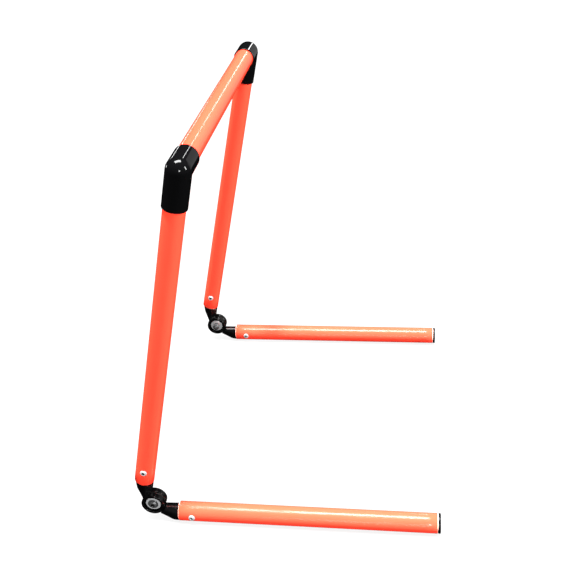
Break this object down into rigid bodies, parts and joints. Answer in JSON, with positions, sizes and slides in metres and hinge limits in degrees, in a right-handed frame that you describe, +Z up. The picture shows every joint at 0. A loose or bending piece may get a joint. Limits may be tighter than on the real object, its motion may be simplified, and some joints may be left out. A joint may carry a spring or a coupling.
{
  "type": "folding training hurdle",
  "caption": "Portal of plastic tube with moulded elbows, standing on hinged feet that fold up flat against the uprights.",
  "frame": {"origin": "middle of the bottom of the bounding box, on the floor between the feet", "axes": "+X along the feet, from the hinges to the end caps; +Y along the crossbar, to the left seen facing +X; +Z up"},
  "size_m": [0.3876, 0.4408, 0.5077],
  "materials": {
    "orange_pvc": "glossy extruded fluorescent orange PVC tube",
    "black_elbow": "glossy moulded black plastic",
    "black_hinge": "semi-gloss moulded black nylon",
    "black_cap": "moulded black polyethylene",
    "zinc_washer": "zinc-plated, stamped",
    "zinc_fastener": "zinc-plated, cold formed",
    "rivet_aluminium": "bright aluminium",
    "nylon": "black nylon",
    "friction_fibre": "pressed fibre"
  },
  "bodies": {
    "portal_frame": {"bolt_washer_left": "zinc_washer", "bolt_washer_right": "zinc_washer", "crossbar_tube": "orange_pvc", "elbow_left": "black_elbow", "elbow_right": "black_elbow", "friction_disc_left": "friction_fibre", "friction_disc_right": "friction_fibre", "hinge_bolt_left": "zinc_fastener", "hinge_bolt_right": "zinc_fastener", "hinge_nut_left": "zinc_fastener", "hinge_nut_right": "zinc_fastener", "nut_lock_ring_left": "nylon", "nut_lock_ring_right": "nylon", "nut_washer_left": "zinc_washer", "nut_washer_right": "zinc_washer", "upright_knuckle_left": "black_hinge", "upright_knuckle_right": "black_hinge", "upright_rivet_inner_left": "rivet_aluminium", "upright_rivet_inner_right": "rivet_aluminium", "upright_rivet_outer_left": "rivet_aluminium", "upright_rivet_outer_right": "rivet_aluminium", "upright_tube_left": "orange_pvc", "upright_tube_right": "orange_pvc"},
    "foot_right": {"foot_end_cap_right": "black_cap", "foot_knuckle_right": "black_hinge", "foot_rivet_inner_right": "rivet_aluminium", "foot_rivet_outer_right": "rivet_aluminium", "foot_tube_right": "orange_pvc"},
    "foot_left": {"foot_end_cap_left": "black_cap", "foot_knuckle_left": "black_hinge", "foot_rivet_inner_left": "rivet_aluminium", "foot_rivet_outer_left": "rivet_aluminium", "foot_tube_left": "orange_pvc"}
  },
  "joints": [
    {"name": "right_foot_hinge", "type": "hinge", "parent": "portal_frame", "child": "foot_right", "pos_m": [-0.1744, -0.2063, 0.0285], "axis": [0, 1, 0], "range_deg": [-76.4, 103.6]},
    {"name": "left_foot_hinge", "type": "hinge", "parent": "portal_frame", "child": "foot_left", "pos_m": [-0.1744, 0.2063, 0.0285], "axis": [0, 1, 0], "range_deg": [-76.4, 103.6]}
  ]
}
